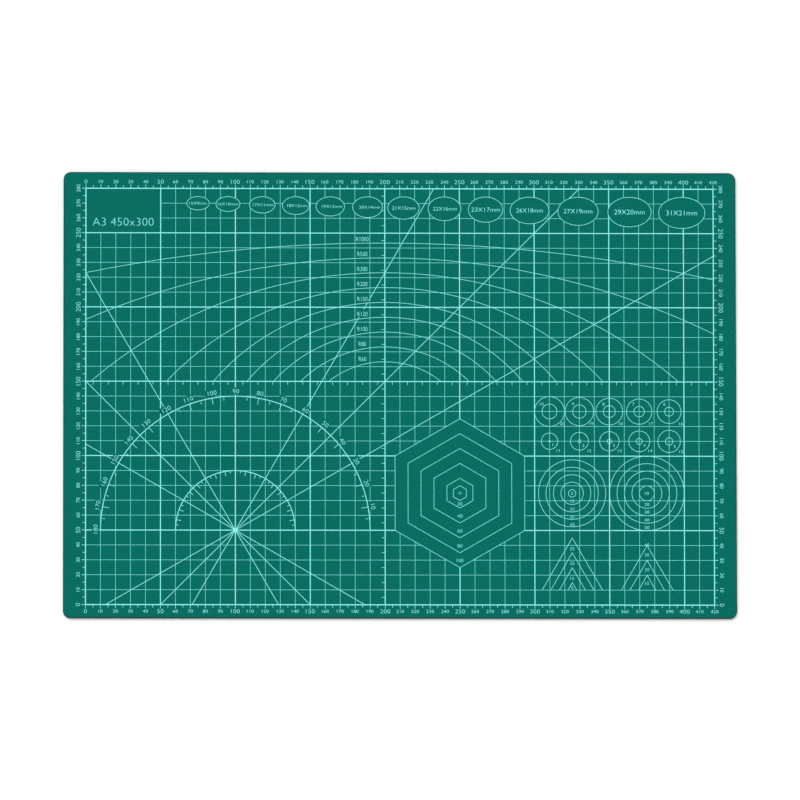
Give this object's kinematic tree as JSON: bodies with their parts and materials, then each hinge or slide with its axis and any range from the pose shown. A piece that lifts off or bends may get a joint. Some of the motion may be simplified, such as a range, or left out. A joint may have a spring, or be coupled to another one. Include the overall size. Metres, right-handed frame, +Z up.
{
  "type": "self healing cutting mat",
  "caption": "Flat rectangular self healing cutting mat with rounded corners, laminated from soft and stiff vinyl plies and printed with a millimetre grid, a protractor and shape gauges.",
  "frame": {"origin": "middle of the underside, on the surface that the mat lies on", "axes": "+X along the long side, to the right as the print is read; +Y away from the near long side; +Z up, out of the printed face"},
  "size_m": [0.45, 0.3, 0.003],
  "materials": {
    "skin_vinyl": "soft plasticised vinyl with a fine matte grain",
    "tie_vinyl": "calendered vinyl, matte on its cut edge",
    "core_vinyl": "stiff vinyl core, matte on its cut edge",
    "ink": "screen printed vinyl ink, matte"
  },
  "bodies": {
    "root": {"top_healing_ply": "skin_vinyl", "upper_tie_ply": "tie_vinyl", "core_ply": "core_vinyl", "lower_tie_ply": "tie_vinyl", "bottom_healing_ply": "skin_vinyl", "bold_grid_print": "ink", "fine_grid_print": "ink", "edge_tick_print": "ink", "inner_tick_print": "ink", "angle_ray_print": "ink", "outer_protractor_print": "ink", "inner_protractor_print": "ink", "radius_arc_print": "ink", "hexagon_print": "ink", "small_circle_print": "ink", "round_gauge_print": "ink", "triangle_print": "ink", "oval_print": "ink"}
  },
  "joints": []
}
